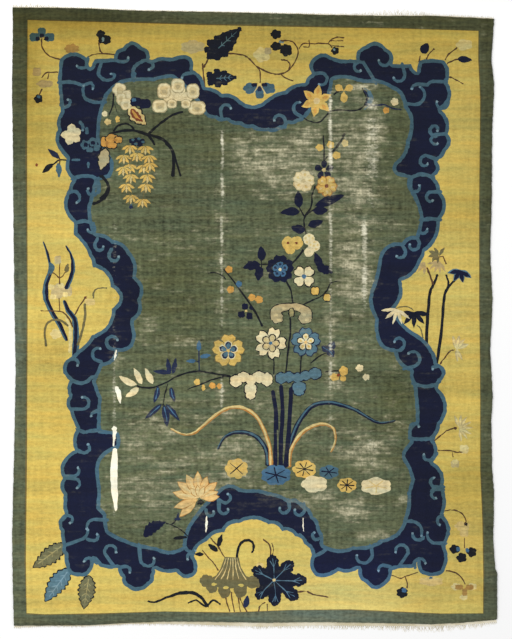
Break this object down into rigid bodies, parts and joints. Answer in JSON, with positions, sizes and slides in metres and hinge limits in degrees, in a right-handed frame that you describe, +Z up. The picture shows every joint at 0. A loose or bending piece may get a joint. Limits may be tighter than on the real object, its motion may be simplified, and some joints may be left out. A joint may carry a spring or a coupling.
{
  "type": "hand-knotted pile rug",
  "caption": "Large flat wool pile rug with a gold border, a navy cloud frame, a green field of flower sprays and short cotton end fringes.",
  "frame": {"origin": "under the middle of the whole rug, on the floor it lies on", "axes": "+Z up out of the pile, +Y along the warps towards the end at the top of the picture, +X to its right"},
  "size_m": [2.74, 3.5688, 0.009],
  "materials": {
    "wool_pile": "low worn wool pile, matt, patterned in gold, navy, blue, cream and green",
    "cotton": "undyed plain-woven cotton ends and loose warps"
  },
  "bodies": {
    "root": {"carpet": "wool_pile", "fringe_bottom": "cotton", "fringe_top": "cotton"}
  },
  "joints": []
}
